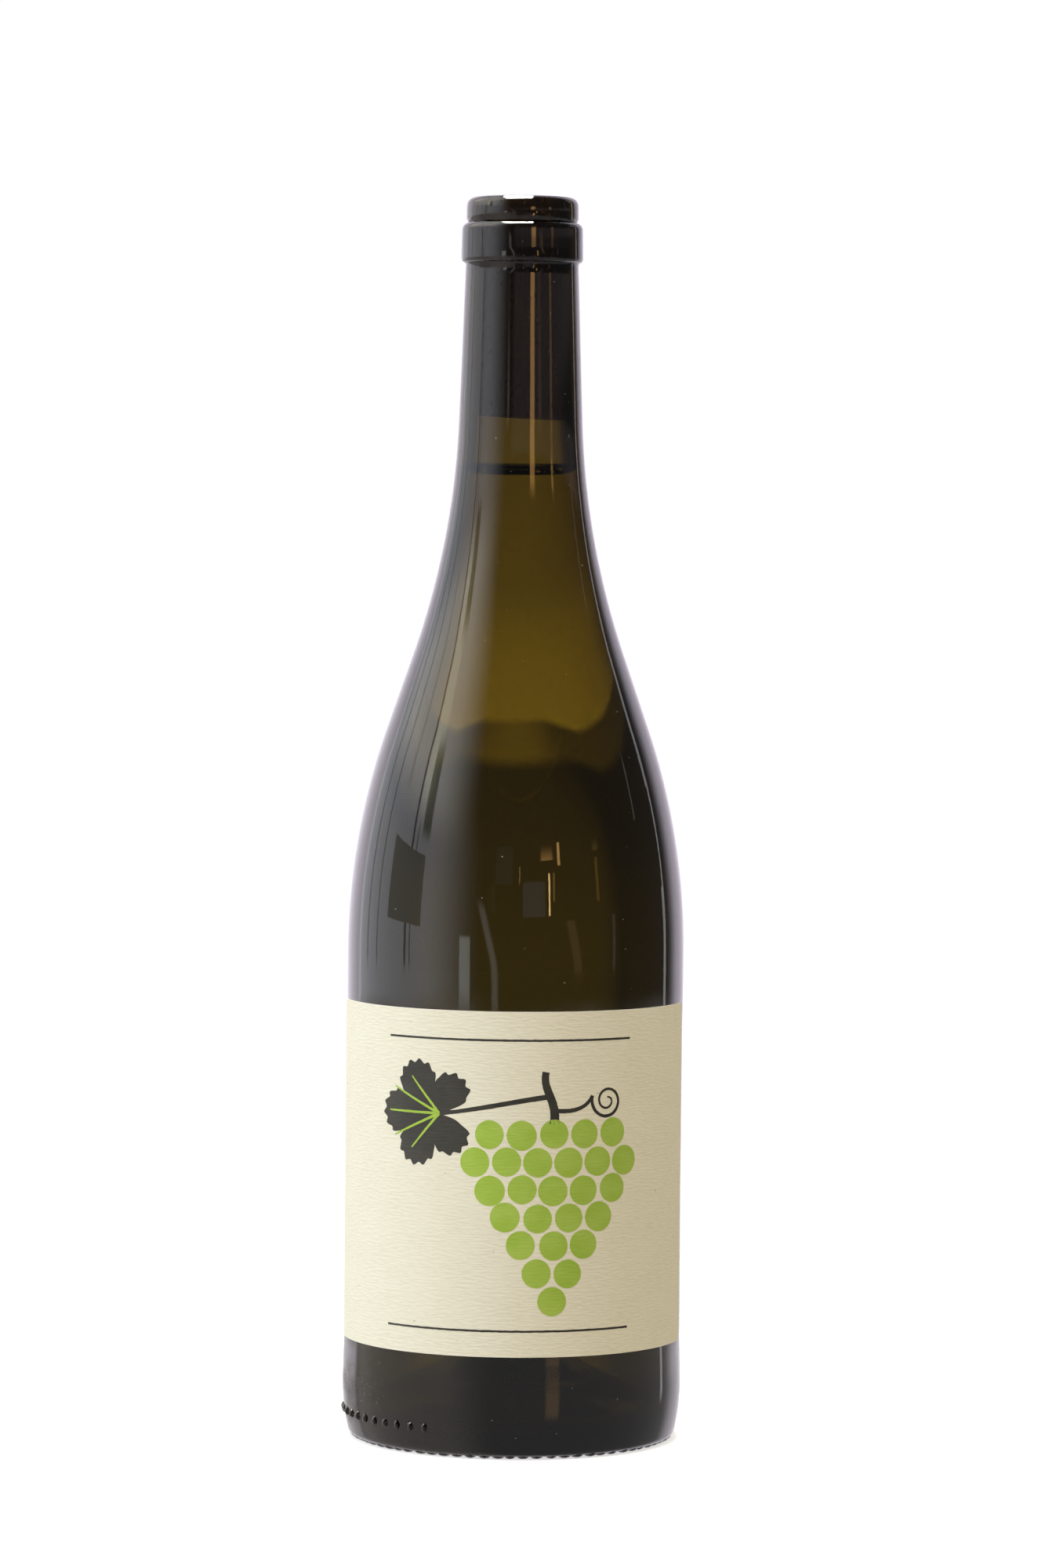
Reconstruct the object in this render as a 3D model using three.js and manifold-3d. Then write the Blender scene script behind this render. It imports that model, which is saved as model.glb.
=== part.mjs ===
// A 75 cl burgundy-shaped wine bottle, filled and corked, with a paper label on its front.
// Millimetres, +Z up. The origin is at the middle of the foot, and the label faces -Y.

import * as THREE from "three";
import { mergeGeometries, mergeVertices } from "three/addons/utils/BufferGeometryUtils.js";
import Module from "manifold-3d";

const DEGREE = Math.PI / 180;

// Bottle: body and heel
const BOTTLE_HEIGHT = 296;
const BODY_RADIUS = 40.28;
const HEEL_RADIUS = 40.55;
const HEEL_BAND_TOP = 14;
const HEEL_BAND_BLEND = 10;
const HEEL_ARC_TOP = 13.4;
const HEEL_ARC_RADIUS = 52.2;
const HEEL_ARC_TURN = 12.6;
const FOOT_LIFT = 0.6;

// Bottle: shoulder, a convex arc, a straight slope and a concave arc into the neck
const SHOULDER_START = 116.1;
const SHOULDER_RADIUS = 164.6;
const SHOULDER_LEAN = 19.1;
const SHOULDER_SLOPE = 18.7;
const NECK_SWEEP_RADIUS = 189.7;
const NECK_LEAN = 2.0;

// Bottle: collar ring and lip
const COLLAR_BOTTOM = 280.3;
const COLLAR_TOP = 290.1;
const COLLAR_LOW_RADIUS = 14.55;
const COLLAR_HIGH_RADIUS = 14.45;
const COLLAR_LOW_CORNER = 1.1;
const COLLAR_HIGH_CORNER = 1.9;
const COLLAR_HIGH_TURN = 66;
const GROOVE_RADIUS = 13.1;
const GROOVE_HEIGHT = 0.7;
const LIP_RADIUS = 13.38;
const LIP_CORNER = 2.0;
const MOUTH_CHAMFER = 0.5;

// Bottle: inside
const BODY_WALL = 2.3;
const NECK_WALL = 4.3;
const BORE_RADIUS = 9.25;
const BORE_STRAIGHT = 4;
const BORE_DEEP_RADIUS = 10;
const BORE_DEPTH = 45;
const INNER_HEEL_CORNER = 6.5;
const INNER_FLOOR = 6;
const PUNT_RADIUS = 35;
const PUNT_DEPTH = 20;
const PUNT_GLASS = 5;

// Bottle: knurled bumps that it stands on, and the row of raised dots on the heel
const BUMP_COUNT = 72;
const BUMP_RING_RADIUS = 36.9;
const BUMP_TIP_RADIUS = 0.7;
const BUMP_ROOT_RADIUS = 1.35;
const BUMP_SINK = 0.5;
const BUMP_STRETCH = 1.25;
const DOT_COUNT = 11;
const DOT_FIRST = -87.9;
const DOT_LAST = -30.4;
const DOT_HEIGHT = 6.8;
const DOT_SIZE = new THREE.Vector3(0.75, 0.7, 1.05);

// Wine and cork
const FILL_LEVEL = 229.5;
const MENISCUS_RISE = 3.1;
const MENISCUS_DECAY = 1.5;
const MENISCUS_WIDTH = 5;
const CORK_TOP = 294.8;
const CORK_LENGTH = 51;
const CORK_TILT = -2.5;
const FIT_GAP = 0.3;

// Front label
const LABEL_BOTTOM = 24.4;
const LABEL_HEIGHT = 80.8;
const LABEL_START = -83;
const LABEL_END = 79;
const LABEL_CORNER = 2;
const LABEL_GAP = 0.1;
const LABEL_THICKNESS = 0.17;

// Facets
const BOTTLE_FACETS = 60;
const CONTENT_FACETS = 40;
const LABEL_COLUMNS = 40;
const CORNER_STEPS = 3;
const OUTER_SWEEP_STEPS = 5;
const INNER_SWEEP_STEPS = 4;
const PUNT_STEPS = 5;
const MENISCUS_STEPS = 3;
const COLLAR_STEPS = 2;
const BUMP_SIDES = 5;
const DOT_SIDES = 6;
const DOT_RINGS = 4;

const glass = new THREE.MeshStandardMaterial({
  color: 0x3a2e10,
  roughness: 0.05,
  metalness: 0,
  transparent: true,
  opacity: 0.6,
});
const corkwood = new THREE.MeshStandardMaterial({ color: 0xa9825a, roughness: 0.9, metalness: 0 });
const drink = new THREE.MeshStandardMaterial({ color: 0x8a7420, roughness: 0.05, metalness: 0 });
const paper = new THREE.MeshStandardMaterial({ color: 0xe6dfc4, roughness: 0.85, metalness: 0 });

const wasm = await Module();
wasm.setup();

// Points along a round corner. An angle is that of the surface's outward normal, from the horizontal.
function cornerPoints(centreRadius, centreHeight, radius, fromAngle, toAngle, steps) {
  const points = [];
  for (let i = 0; i <= steps; i++) {
    const angle = (fromAngle + ((toAngle - fromAngle) * i) / steps) * DEGREE;
    points.push(
      new THREE.Vector2(centreRadius + radius * Math.cos(angle), centreHeight + radius * Math.sin(angle))
    );
  }
  return points;
}

// The outside of the shoulder from the body up to the neck, each point with the wall's lean there.
function shoulderPoints(steps) {
  const points = [];
  const centre = BODY_RADIUS - SHOULDER_RADIUS;
  for (let i = 0; i <= steps; i++) {
    const lean = (SHOULDER_LEAN * i) / steps;
    const radius = centre + SHOULDER_RADIUS * Math.cos(lean * DEGREE);
    const height = SHOULDER_START + SHOULDER_RADIUS * Math.sin(lean * DEGREE);
    points.push({ radius, height, lean });
  }
  const bend = points[steps];
  const sine = Math.sin(SHOULDER_LEAN * DEGREE);
  const cosine = Math.cos(SHOULDER_LEAN * DEGREE);
  const sweepRadius = bend.radius - SHOULDER_SLOPE * sine + NECK_SWEEP_RADIUS * cosine;
  const sweepHeight = bend.height + SHOULDER_SLOPE * cosine + NECK_SWEEP_RADIUS * sine;
  for (let i = 0; i < steps; i++) {
    const lean = SHOULDER_LEAN + ((NECK_LEAN - SHOULDER_LEAN) * i) / (steps - 1);
    const radius = sweepRadius - NECK_SWEEP_RADIUS * Math.cos(lean * DEGREE);
    const height = sweepHeight - NECK_SWEEP_RADIUS * Math.sin(lean * DEGREE);
    points.push({ radius, height, lean });
  }
  return points;
}

// The inside of the shoulder, where the wall thickens from the body to the neck.
function innerShoulderPoints(clearance) {
  const outside = shoulderPoints(INNER_SWEEP_STEPS);
  const top = outside[outside.length - 1].height;
  return outside.map(({ radius, height, lean }) => {
    const share = (height - SHOULDER_START) / (top - SHOULDER_START);
    const depth = THREE.MathUtils.lerp(BODY_WALL, NECK_WALL, share) + clearance;
    return new THREE.Vector2(
      radius - depth * Math.cos(lean * DEGREE),
      height - depth * Math.sin(lean * DEGREE)
    );
  });
}

// A dome that is level at its middle and at its rim, from the axis outwards.
function domePoints(rimRadius, rimHeight, rise) {
  const points = [];
  for (let i = 0; i <= PUNT_STEPS; i++) {
    const share = i / PUNT_STEPS;
    const height = rimHeight + (rise * (1 + Math.cos(Math.PI * share))) / 2;
    points.push(new THREE.Vector2(rimRadius * share, height));
  }
  return points;
}

// The room inside the bottle from the middle of its floor up to the neck, less a clearance all round.
function cavityPoints(clearance) {
  const corner = INNER_HEEL_CORNER - clearance;
  const cornerRadius = BODY_RADIUS - BODY_WALL - INNER_HEEL_CORNER;
  const cornerHeight = INNER_FLOOR + INNER_HEEL_CORNER;
  const rise = FOOT_LIFT + PUNT_DEPTH + PUNT_GLASS - INNER_FLOOR;
  return [
    ...domePoints(cornerRadius, INNER_FLOOR + clearance, rise),
    ...cornerPoints(cornerRadius, cornerHeight, corner, -90, 0, CORNER_STEPS).slice(1),
    ...innerShoulderPoints(clearance),
  ];
}

// The radius of the bore or the neck's inside at a height above the shoulder.
function neckRadiusAt(height) {
  const shoulder = innerShoulderPoints(0);
  const walls = [
    ...shoulder,
    new THREE.Vector2(BORE_DEEP_RADIUS, BOTTLE_HEIGHT - BORE_DEPTH),
    new THREE.Vector2(BORE_RADIUS, BOTTLE_HEIGHT - BORE_STRAIGHT),
    new THREE.Vector2(BORE_RADIUS, BOTTLE_HEIGHT),
  ];
  const above = walls.findIndex((wall) => wall.y >= height);
  const high = walls[above];
  const low = walls[above - 1];
  return THREE.MathUtils.mapLinear(height, low.y, high.y, low.x, high.x);
}

// A solid of revolution about Z, from an outline that starts and ends on the axis.
function turned(outline, facets) {
  const geometry = new THREE.LatheGeometry(outline, facets);
  geometry.rotateX(90 * DEGREE);
  return geometry;
}

// A closed solid that can be joined to another.
function toSolid(geometry) {
  const bare = geometry.clone();
  bare.deleteAttribute("normal");
  bare.deleteAttribute("uv");
  const merged = mergeVertices(bare);
  const corners = merged.index.array;
  const triangles = [];
  for (let i = 0; i < corners.length; i += 3) {
    const [a, b, c] = corners.slice(i, i + 3);
    if (a !== b && b !== c && c !== a) {
      triangles.push(a, b, c);
    }
  }
  const vertProperties = Float32Array.from(merged.getAttribute("position").array);
  return new wasm.Manifold(
    new wasm.Mesh({ numProp: 3, vertProperties, triVerts: Uint32Array.from(triangles) })
  );
}

function fromSolid(solid) {
  const mesh = solid.getMesh();
  const geometry = new THREE.BufferGeometry();
  geometry.setAttribute("position", new THREE.BufferAttribute(mesh.vertProperties, 3));
  geometry.setIndex(new THREE.BufferAttribute(mesh.triVerts, 1));
  geometry.computeVertexNormals();
  return geometry;
}

// A point on the front half of a cylinder about Z, at an angle from the front towards +X.
function aroundFront(radius, angle, height) {
  return new THREE.Vector3(radius * Math.sin(angle * DEGREE), -radius * Math.cos(angle * DEGREE), height);
}

function bottleOutline() {
  const heelCentre = HEEL_RADIUS - HEEL_ARC_RADIUS;
  const heelArc = cornerPoints(heelCentre, HEEL_ARC_TOP, HEEL_ARC_RADIUS, -HEEL_ARC_TURN, 0, CORNER_STEPS);
  const heelEnd = heelArc[0];
  const turn = HEEL_ARC_TURN * DEGREE;
  const footCorner = (heelEnd.y - FOOT_LIFT) / (1 - Math.sin(turn));
  const footRadius = heelEnd.x - footCorner * Math.cos(turn);
  const footHeight = FOOT_LIFT + footCorner;
  const shoulder = shoulderPoints(OUTER_SWEEP_STEPS);
  const neckTop = shoulder[shoulder.length - 1];
  const neckShrink = Math.tan(NECK_LEAN * DEGREE) * (COLLAR_BOTTOM - neckTop.height);
  const lowCorner = COLLAR_LOW_RADIUS - COLLAR_LOW_CORNER;
  const highCorner = COLLAR_HIGH_RADIUS - COLLAR_HIGH_CORNER;
  const lipEdge = LIP_RADIUS - LIP_CORNER;
  return [
    ...domePoints(PUNT_RADIUS, FOOT_LIFT, PUNT_DEPTH),
    ...cornerPoints(footRadius, footHeight, footCorner, -90, -HEEL_ARC_TURN, CORNER_STEPS).slice(0, -1),
    ...heelArc,
    new THREE.Vector2(HEEL_RADIUS, HEEL_BAND_TOP),
    new THREE.Vector2(BODY_RADIUS, HEEL_BAND_TOP + HEEL_BAND_BLEND),
    ...shoulder.map(({ radius, height }) => new THREE.Vector2(radius, height)),
    new THREE.Vector2(neckTop.radius - neckShrink, COLLAR_BOTTOM),
    ...cornerPoints(
      lowCorner, COLLAR_BOTTOM + COLLAR_LOW_CORNER, COLLAR_LOW_CORNER, -90, 0, COLLAR_STEPS
    ),
    ...cornerPoints(
      highCorner, COLLAR_TOP - COLLAR_HIGH_CORNER, COLLAR_HIGH_CORNER, 0, COLLAR_HIGH_TURN, CORNER_STEPS
    ),
    new THREE.Vector2(GROOVE_RADIUS, COLLAR_TOP),
    new THREE.Vector2(LIP_RADIUS, COLLAR_TOP + GROOVE_HEIGHT),
    ...cornerPoints(lipEdge, BOTTLE_HEIGHT - LIP_CORNER, LIP_CORNER, 0, 90, CORNER_STEPS),
    new THREE.Vector2(BORE_RADIUS + MOUTH_CHAMFER, BOTTLE_HEIGHT),
    new THREE.Vector2(BORE_RADIUS, BOTTLE_HEIGHT - MOUTH_CHAMFER),
    new THREE.Vector2(BORE_RADIUS, BOTTLE_HEIGHT - BORE_STRAIGHT),
    new THREE.Vector2(BORE_DEEP_RADIUS, BOTTLE_HEIGHT - BORE_DEPTH),
    ...cavityPoints(0).reverse(),
  ];
}

// One bump of the foot's knurling: a five-sided stud whose flat tip is on the ground.
function footBump(angle) {
  const length = FOOT_LIFT + BUMP_SINK;
  const bump = new THREE.CylinderGeometry(BUMP_ROOT_RADIUS, BUMP_TIP_RADIUS, length, BUMP_SIDES);
  bump.rotateX(90 * DEGREE);
  bump.scale(1, BUMP_STRETCH, 1);
  bump.rotateZ(angle * DEGREE);
  const place = aroundFront(BUMP_RING_RADIUS, angle, length / 2);
  bump.translate(place.x, place.y, place.z);
  return bump;
}

// One raised dot on the heel, half of it inside the wall.
function heelDot(angle) {
  const dot = new THREE.SphereGeometry(1, DOT_SIDES, DOT_RINGS);
  dot.rotateX(90 * DEGREE);
  dot.scale(DOT_SIZE.x, DOT_SIZE.y, DOT_SIZE.z);
  dot.rotateZ(angle * DEGREE);
  const drop = HEEL_ARC_TOP - DOT_HEIGHT;
  const inset = HEEL_ARC_RADIUS - Math.sqrt(HEEL_ARC_RADIUS ** 2 - drop ** 2);
  const place = aroundFront(HEEL_RADIUS - inset, angle, DOT_HEIGHT);
  dot.translate(place.x, place.y, place.z);
  return dot;
}

function makeBottle() {
  const bumps = [];
  for (let i = 0; i < BUMP_COUNT; i++) {
    bumps.push(footBump((360 * i) / BUMP_COUNT));
  }
  const dots = [];
  for (let i = 0; i < DOT_COUNT; i++) {
    dots.push(heelDot(THREE.MathUtils.lerp(DOT_FIRST, DOT_LAST, i / (DOT_COUNT - 1))));
  }
  const shell = toSolid(turned(bottleOutline(), BOTTLE_FACETS));
  const joined = shell.add(toSolid(mergeGeometries(bumps))).add(toSolid(mergeGeometries(dots)));
  return fromSolid(joined);
}

// The wine fills the room inside up to its level, and climbs the neck's wall at its edge.
function makeWine() {
  const edgeHeight = FILL_LEVEL + MENISCUS_RISE;
  const edgeRadius = neckRadiusAt(edgeHeight) - FIT_GAP;
  const surface = [];
  for (let i = 0; i <= MENISCUS_STEPS; i++) {
    const reach = MENISCUS_WIDTH * (i / MENISCUS_STEPS) ** 2;
    const climb = MENISCUS_RISE * Math.exp(-reach / MENISCUS_DECAY);
    surface.push(new THREE.Vector2(edgeRadius - reach, FILL_LEVEL + climb));
  }
  const outline = [
    ...cavityPoints(FIT_GAP).filter((point) => point.y < FILL_LEVEL),
    ...surface,
    new THREE.Vector2(0, FILL_LEVEL),
  ];
  return turned(outline, CONTENT_FACETS);
}

// The cork fills the bore, and its lower end is cut a little aslant.
function makeCork() {
  const bottom = CORK_TOP - CORK_LENGTH;
  const heights = [bottom, BOTTLE_HEIGHT - BORE_DEPTH, BOTTLE_HEIGHT - BORE_STRAIGHT, CORK_TOP];
  const outline = [
    new THREE.Vector2(0, bottom),
    ...heights.map((height) => new THREE.Vector2(neckRadiusAt(height) - FIT_GAP, height)),
    new THREE.Vector2(0, CORK_TOP),
  ];
  const cork = turned(outline, CONTENT_FACETS);
  const places = cork.getAttribute("position");
  const slope = Math.tan(CORK_TILT * DEGREE);
  for (let i = 0; i < places.count; i++) {
    if (places.getZ(i) < bottom + FIT_GAP) {
      places.setZ(i, bottom + places.getX(i) * slope);
    }
  }
  cork.computeVertexNormals();
  return cork;
}

// The label's columns: an angle, and how far the rounded corner draws the column's two ends in.
function labelColumns() {
  const radius = BODY_RADIUS + LABEL_GAP;
  const cornerAngle = LABEL_CORNER / radius / DEGREE;
  const columns = [];
  for (let i = 0; i < CORNER_STEPS; i++) {
    const turn = (90 * i * DEGREE) / CORNER_STEPS;
    const along = cornerAngle * (1 - Math.cos(turn));
    columns.push({ along, inset: LABEL_CORNER * (1 - Math.sin(turn)) });
  }
  const middle = [];
  for (let i = 0; i <= LABEL_COLUMNS; i++) {
    const share = i / LABEL_COLUMNS;
    middle.push({
      angle: THREE.MathUtils.lerp(LABEL_START + cornerAngle, LABEL_END - cornerAngle, share),
      inset: 0,
    });
  }
  return [
    ...columns.map(({ along, inset }) => ({ angle: LABEL_START + along, inset })),
    ...middle,
    ...columns.reverse().map(({ along, inset }) => ({ angle: LABEL_END - along, inset })),
  ];
}

// A thin curved sheet: each column has four points, inside and outside, at its lower and upper end.
function makeLabel() {
  const inside = BODY_RADIUS + LABEL_GAP;
  const outside = inside + LABEL_THICKNESS;
  const positions = [];
  const columns = labelColumns();
  for (const { angle, inset } of columns) {
    const low = LABEL_BOTTOM + inset;
    const high = LABEL_BOTTOM + LABEL_HEIGHT - inset;
    positions.push(...aroundFront(inside, angle, low).toArray());
    positions.push(...aroundFront(outside, angle, low).toArray());
    positions.push(...aroundFront(outside, angle, high).toArray());
    positions.push(...aroundFront(inside, angle, high).toArray());
  }
  const triangles = [];
  for (let column = 0; column < columns.length - 1; column++) {
    for (let side = 0; side < 4; side++) {
      const a = column * 4 + side;
      const b = column * 4 + ((side + 1) % 4);
      triangles.push(a, a + 4, b + 4, a, b + 4, b);
    }
  }
  const last = (columns.length - 1) * 4;
  triangles.push(0, 1, 2, 0, 2, 3);
  triangles.push(last, last + 2, last + 1, last, last + 3, last + 2);
  const geometry = new THREE.BufferGeometry();
  geometry.setAttribute("position", new THREE.Float32BufferAttribute(positions, 3));
  geometry.setIndex(triangles);
  geometry.computeVertexNormals();
  return geometry;
}

const group = new THREE.Group();

function addPart(name, geometry, material) {
  const mesh = new THREE.Mesh(geometry, material);
  mesh.name = name;
  group.add(mesh);
}

addPart("bottle", makeBottle(), glass);
addPart("cork", makeCork(), corkwood);
addPart("wine", makeWine(), drink);
addPart("front_label", makeLabel(), paper);

export default group;
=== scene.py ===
"""A full, corked 75 cl burgundy bottle in dark olive glass, with a printed paper label, in a white studio."""

import math
import random

import bpy
from mathutils import Matrix, Vector, noise


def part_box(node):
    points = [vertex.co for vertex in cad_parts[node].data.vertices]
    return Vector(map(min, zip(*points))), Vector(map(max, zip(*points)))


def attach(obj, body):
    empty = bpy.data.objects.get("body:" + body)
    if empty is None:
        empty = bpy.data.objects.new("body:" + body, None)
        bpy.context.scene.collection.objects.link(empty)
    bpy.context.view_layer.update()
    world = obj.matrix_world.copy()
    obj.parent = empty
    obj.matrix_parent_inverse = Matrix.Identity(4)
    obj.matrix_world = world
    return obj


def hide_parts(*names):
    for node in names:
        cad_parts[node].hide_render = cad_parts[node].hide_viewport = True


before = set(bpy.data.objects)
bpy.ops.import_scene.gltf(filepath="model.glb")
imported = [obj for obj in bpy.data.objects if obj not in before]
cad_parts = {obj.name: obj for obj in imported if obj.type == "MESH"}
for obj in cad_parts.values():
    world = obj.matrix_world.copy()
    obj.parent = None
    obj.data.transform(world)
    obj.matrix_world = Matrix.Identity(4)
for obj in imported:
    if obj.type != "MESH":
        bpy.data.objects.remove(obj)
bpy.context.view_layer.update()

# Bottle outside, in metres
BOTTLE_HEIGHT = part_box("bottle")[1].z
BODY_RADIUS = 0.04028
HEEL_RADIUS = 0.04055
HEEL_BAND_TOP = 0.014
HEEL_BAND_BLEND = 0.010
HEEL_ARC_TOP = 0.0134
HEEL_ARC_RADIUS = 0.0522
HEEL_ARC_TURN = 12.6
FOOT_LIFT = 0.0006
SHOULDER_START = 0.1161
SHOULDER_RADIUS = 0.1646
SHOULDER_LEAN = 19.1
SHOULDER_SLOPE = 0.0187
NECK_SWEEP_RADIUS = 0.1897
NECK_LEAN = 2.0
COLLAR_BOTTOM = 0.2803
COLLAR_TOP = 0.2901
COLLAR_LOW_RADIUS = 0.01455
COLLAR_HIGH_RADIUS = 0.01445
COLLAR_LOW_CORNER = 0.0011
COLLAR_HIGH_CORNER = 0.0019
COLLAR_HIGH_TURN = 66
COLLAR_FILLET = 0.0005
GROOVE_RADIUS = 0.0131
GROOVE_HEIGHT = 0.0007
LIP_RADIUS = 0.01338
LIP_CORNER = 0.0020
LIP_STEP = 0.00005
LIP_STEP_HEIGHT = 0.00013
MOUTH_CORNER = 0.0005

# Bottle inside
BODY_WALL = 0.0023
NECK_WALL = 0.0043
BORE_RADIUS = 0.00925
BORE_STRAIGHT = 0.004
BORE_DEEP_RADIUS = 0.010
BORE_DEPTH = 0.045
INNER_HEEL_CORNER = 0.0065
INNER_FLOOR = 0.006
PUNT_RADIUS = 0.035
PUNT_DEPTH = 0.020
PUNT_GLASS = 0.005

# Foot bumps, heel dots and mould seams
BUMP_COUNT = 72
BUMP_RING_RADIUS = 0.0369
BUMP_WIDTH = 0.0017
BUMP_LENGTH = 0.0017
DOT_COUNT = 11
DOT_FIRST = -87.9
DOT_LAST = -30.4
DOT_HEIGHT = 0.0068
DOT_SIZE = (0.00075, 0.0007, 0.00105)
SEAM_ANGLES = (-90, 90)
SEAM_RISE = 0.00002
SEAM_WIDTH = 0.0008
SEAM_STEPS = (0.2, 0.4, 0.7)

# How far the blown glass strays from its outline, and where it is even
OUTSIDE_WAVE = 0.000022
INSIDE_WAVE = 0.00010
INSIDE_RIPPLE = 0.000008
EVEN_FOOT_TOP = 0.012
EVEN_FOOT_BLEND = 0.02
EVEN_COLLAR_BLEND = 0.01

# Wine and cork
FILL_LEVEL = 0.2295
MENISCUS_RISE = 0.0031
MENISCUS_DECAY = 0.0015
MENISCUS_REACH = 0.009
WINE_OVERLAP = 0.00015
BUBBLE_SPANS = ((-62, -36, 7), (18, 52, 12))
CORK_TOP = 0.2948
CORK_LENGTH = 0.051
CORK_TILT = -2.5
CORK_GAP = 0.00003
PORE_DEPTH = 0.0003
PORE_LEVEL = 0.40
NEAR = 0.00001

# Front label
LABEL_BOTTOM = 0.0244
LABEL_HEIGHT = 0.0808
LABEL_START = -83
LABEL_END = 79
LABEL_CORNER = 0.002
LABEL_GAP = 0.00005
LABEL_THICKNESS = 0.0002

# Print: a plain bunch of grapes with a leaf, between two rules
INK_LIFT = 0.00002
INK_ROUGHNESS = 0.00007
BERRY_RADIUS = 0.0036
BERRY_PITCH = 0.0075
BUNCH_PLACE = (0.0095, 0.0765)
BUNCH_ROWS = (5, 6, 5, 4, 3, 2, 1)
LEAF_PLACE = (-0.0215, 0.0810)
LEAF_HEART = (LEAF_PLACE[0] + 0.0035, LEAF_PLACE[1])
LEAF_SIZE = 0.0125
RULE_HEIGHTS = (0.0305, 0.0985)
RULE_REACH = 0.031
RULE_WIDTH = 0.0005
RULE_SHIFT = -0.0014

# Dust on the glass: how many flecks there are, their sizes, and where they gather, as middle and spread
FLECK_COUNT = 260
FLECK_SIZES = (0.00007, 0.00020)
HEEL_FLECK_COUNT = 420
HEEL_FLECK_SIZES = (0.00006, 0.00018)
HEEL_DUST_ANGLE = (-74, 13)
HEEL_DUST_HEIGHT = (0.013, 0.006)
HEEL_DUST_LIMITS = (0.003, 0.0235)
HAZE_SPAN = (-83, -30)
HAZE_HEIGHTS = (0.003, 0.0237)
HAZE_LIFT = 0.00006
HAZE_THICKNESS = 0.25

# Fineness of the meshes
AROUND = 240
ROW_SPACING = 0.0024

# Camera: the photograph's place, pitch, roll and lens
CAMERA_PLACE = (0.0013, -1.3725, 0.220)
CAMERA_PITCH = -2.655
CAMERA_ROLL = 0.555
CAMERA_LENS = 132.0
SENSOR = 36.0

random.seed(7)


# Outlines, as lists of (radius, height)

def evenly(start, end, steps):
    """Even stops from start to end, both of them included."""
    return [start + (end - start) * i / steps for i in range(steps + 1)]


def arc(centre_radius, centre_height, radius, start, end, steps):
    """Points round a corner. An angle is that of the outward normal above the horizontal, in degrees."""
    return [
        (centre_radius + radius * math.cos(turn), centre_height + radius * math.sin(turn))
        for turn in (math.radians(angle) for angle in evenly(start, end, steps))
    ]


def shoulder(steps):
    """The outside from the body up to the neck, as (radius, height, lean of the wall in degrees)."""
    points = []
    for lean in evenly(0, SHOULDER_LEAN, steps):
        turn = math.radians(lean)
        points.append((
            BODY_RADIUS - SHOULDER_RADIUS * (1 - math.cos(turn)),
            SHOULDER_START + SHOULDER_RADIUS * math.sin(turn),
            lean,
        ))
    bend_radius, bend_height, _ = points[-1]
    turn = math.radians(SHOULDER_LEAN)
    centre_radius = bend_radius - SHOULDER_SLOPE * math.sin(turn) + NECK_SWEEP_RADIUS * math.cos(turn)
    centre_height = bend_height + SHOULDER_SLOPE * math.cos(turn) + NECK_SWEEP_RADIUS * math.sin(turn)
    for lean in evenly(SHOULDER_LEAN, NECK_LEAN, steps):
        turn = math.radians(lean)
        points.append((
            centre_radius - NECK_SWEEP_RADIUS * math.cos(turn),
            centre_height - NECK_SWEEP_RADIUS * math.sin(turn),
            lean,
        ))
    return points


def inner_shoulder(steps):
    """The inside of the shoulder, where the wall thickens from the body to the neck."""
    outside = shoulder(steps)
    top = outside[-1][1]
    points = []
    for radius, height, lean in outside:
        share = (height - SHOULDER_START) / (top - SHOULDER_START)
        wall = BODY_WALL + (NECK_WALL - BODY_WALL) * share
        turn = math.radians(lean)
        points.append((radius - wall * math.cos(turn), height - wall * math.sin(turn)))
    return points


def dome(rim_radius, rim_height, rise, steps):
    """A dome level at its middle and its rim, from the axis outwards."""
    return [
        (rim_radius * share, rim_height + rise * (1 + math.cos(math.pi * share)) / 2)
        for share in evenly(0, 1, steps)
    ]


def inside_points():
    """The bottle's inside from the middle of its floor up to the mouth's rim."""
    corner_radius = BODY_RADIUS - BODY_WALL - INNER_HEEL_CORNER
    rise = FOOT_LIFT + PUNT_DEPTH + PUNT_GLASS - INNER_FLOOR
    return (
        dome(corner_radius, INNER_FLOOR, rise, 16)
        + arc(corner_radius, INNER_FLOOR + INNER_HEEL_CORNER, INNER_HEEL_CORNER, -90, 0, 8)[1:]
        + inner_shoulder(24)
        + [
            (BORE_DEEP_RADIUS, BOTTLE_HEIGHT - BORE_DEPTH),
            (BORE_RADIUS, BOTTLE_HEIGHT - BORE_STRAIGHT),
            (BORE_RADIUS, BOTTLE_HEIGHT - MOUTH_CORNER),
        ]
    )


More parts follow.
